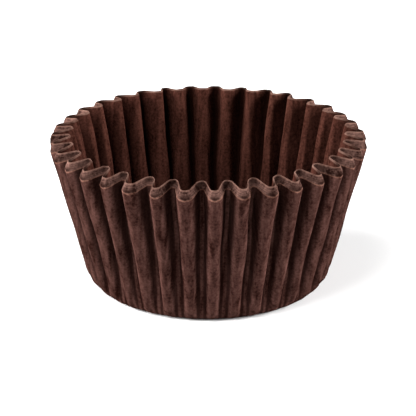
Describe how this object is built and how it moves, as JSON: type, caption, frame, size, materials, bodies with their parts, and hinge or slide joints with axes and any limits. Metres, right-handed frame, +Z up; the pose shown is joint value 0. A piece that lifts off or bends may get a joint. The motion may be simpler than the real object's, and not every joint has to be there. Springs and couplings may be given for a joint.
{
  "type": "candy cup",
  "caption": "Small fluted paper candy cup: round flat base, pleated flaring wall, rim cut at a slant through several plies, open top.",
  "frame": {"origin": "middle of the underside of the base, on the surface that the cup stands on", "axes": "+Z up out of the open mouth; +X through the crest of one flute; +Y by the right-hand rule"},
  "size_m": [0.0379, 0.038, 0.0185],
  "materials": {
    "paper": "matte"
  },
  "bodies": {
    "root": {"candy_cup": "paper"}
  },
  "joints": []
}
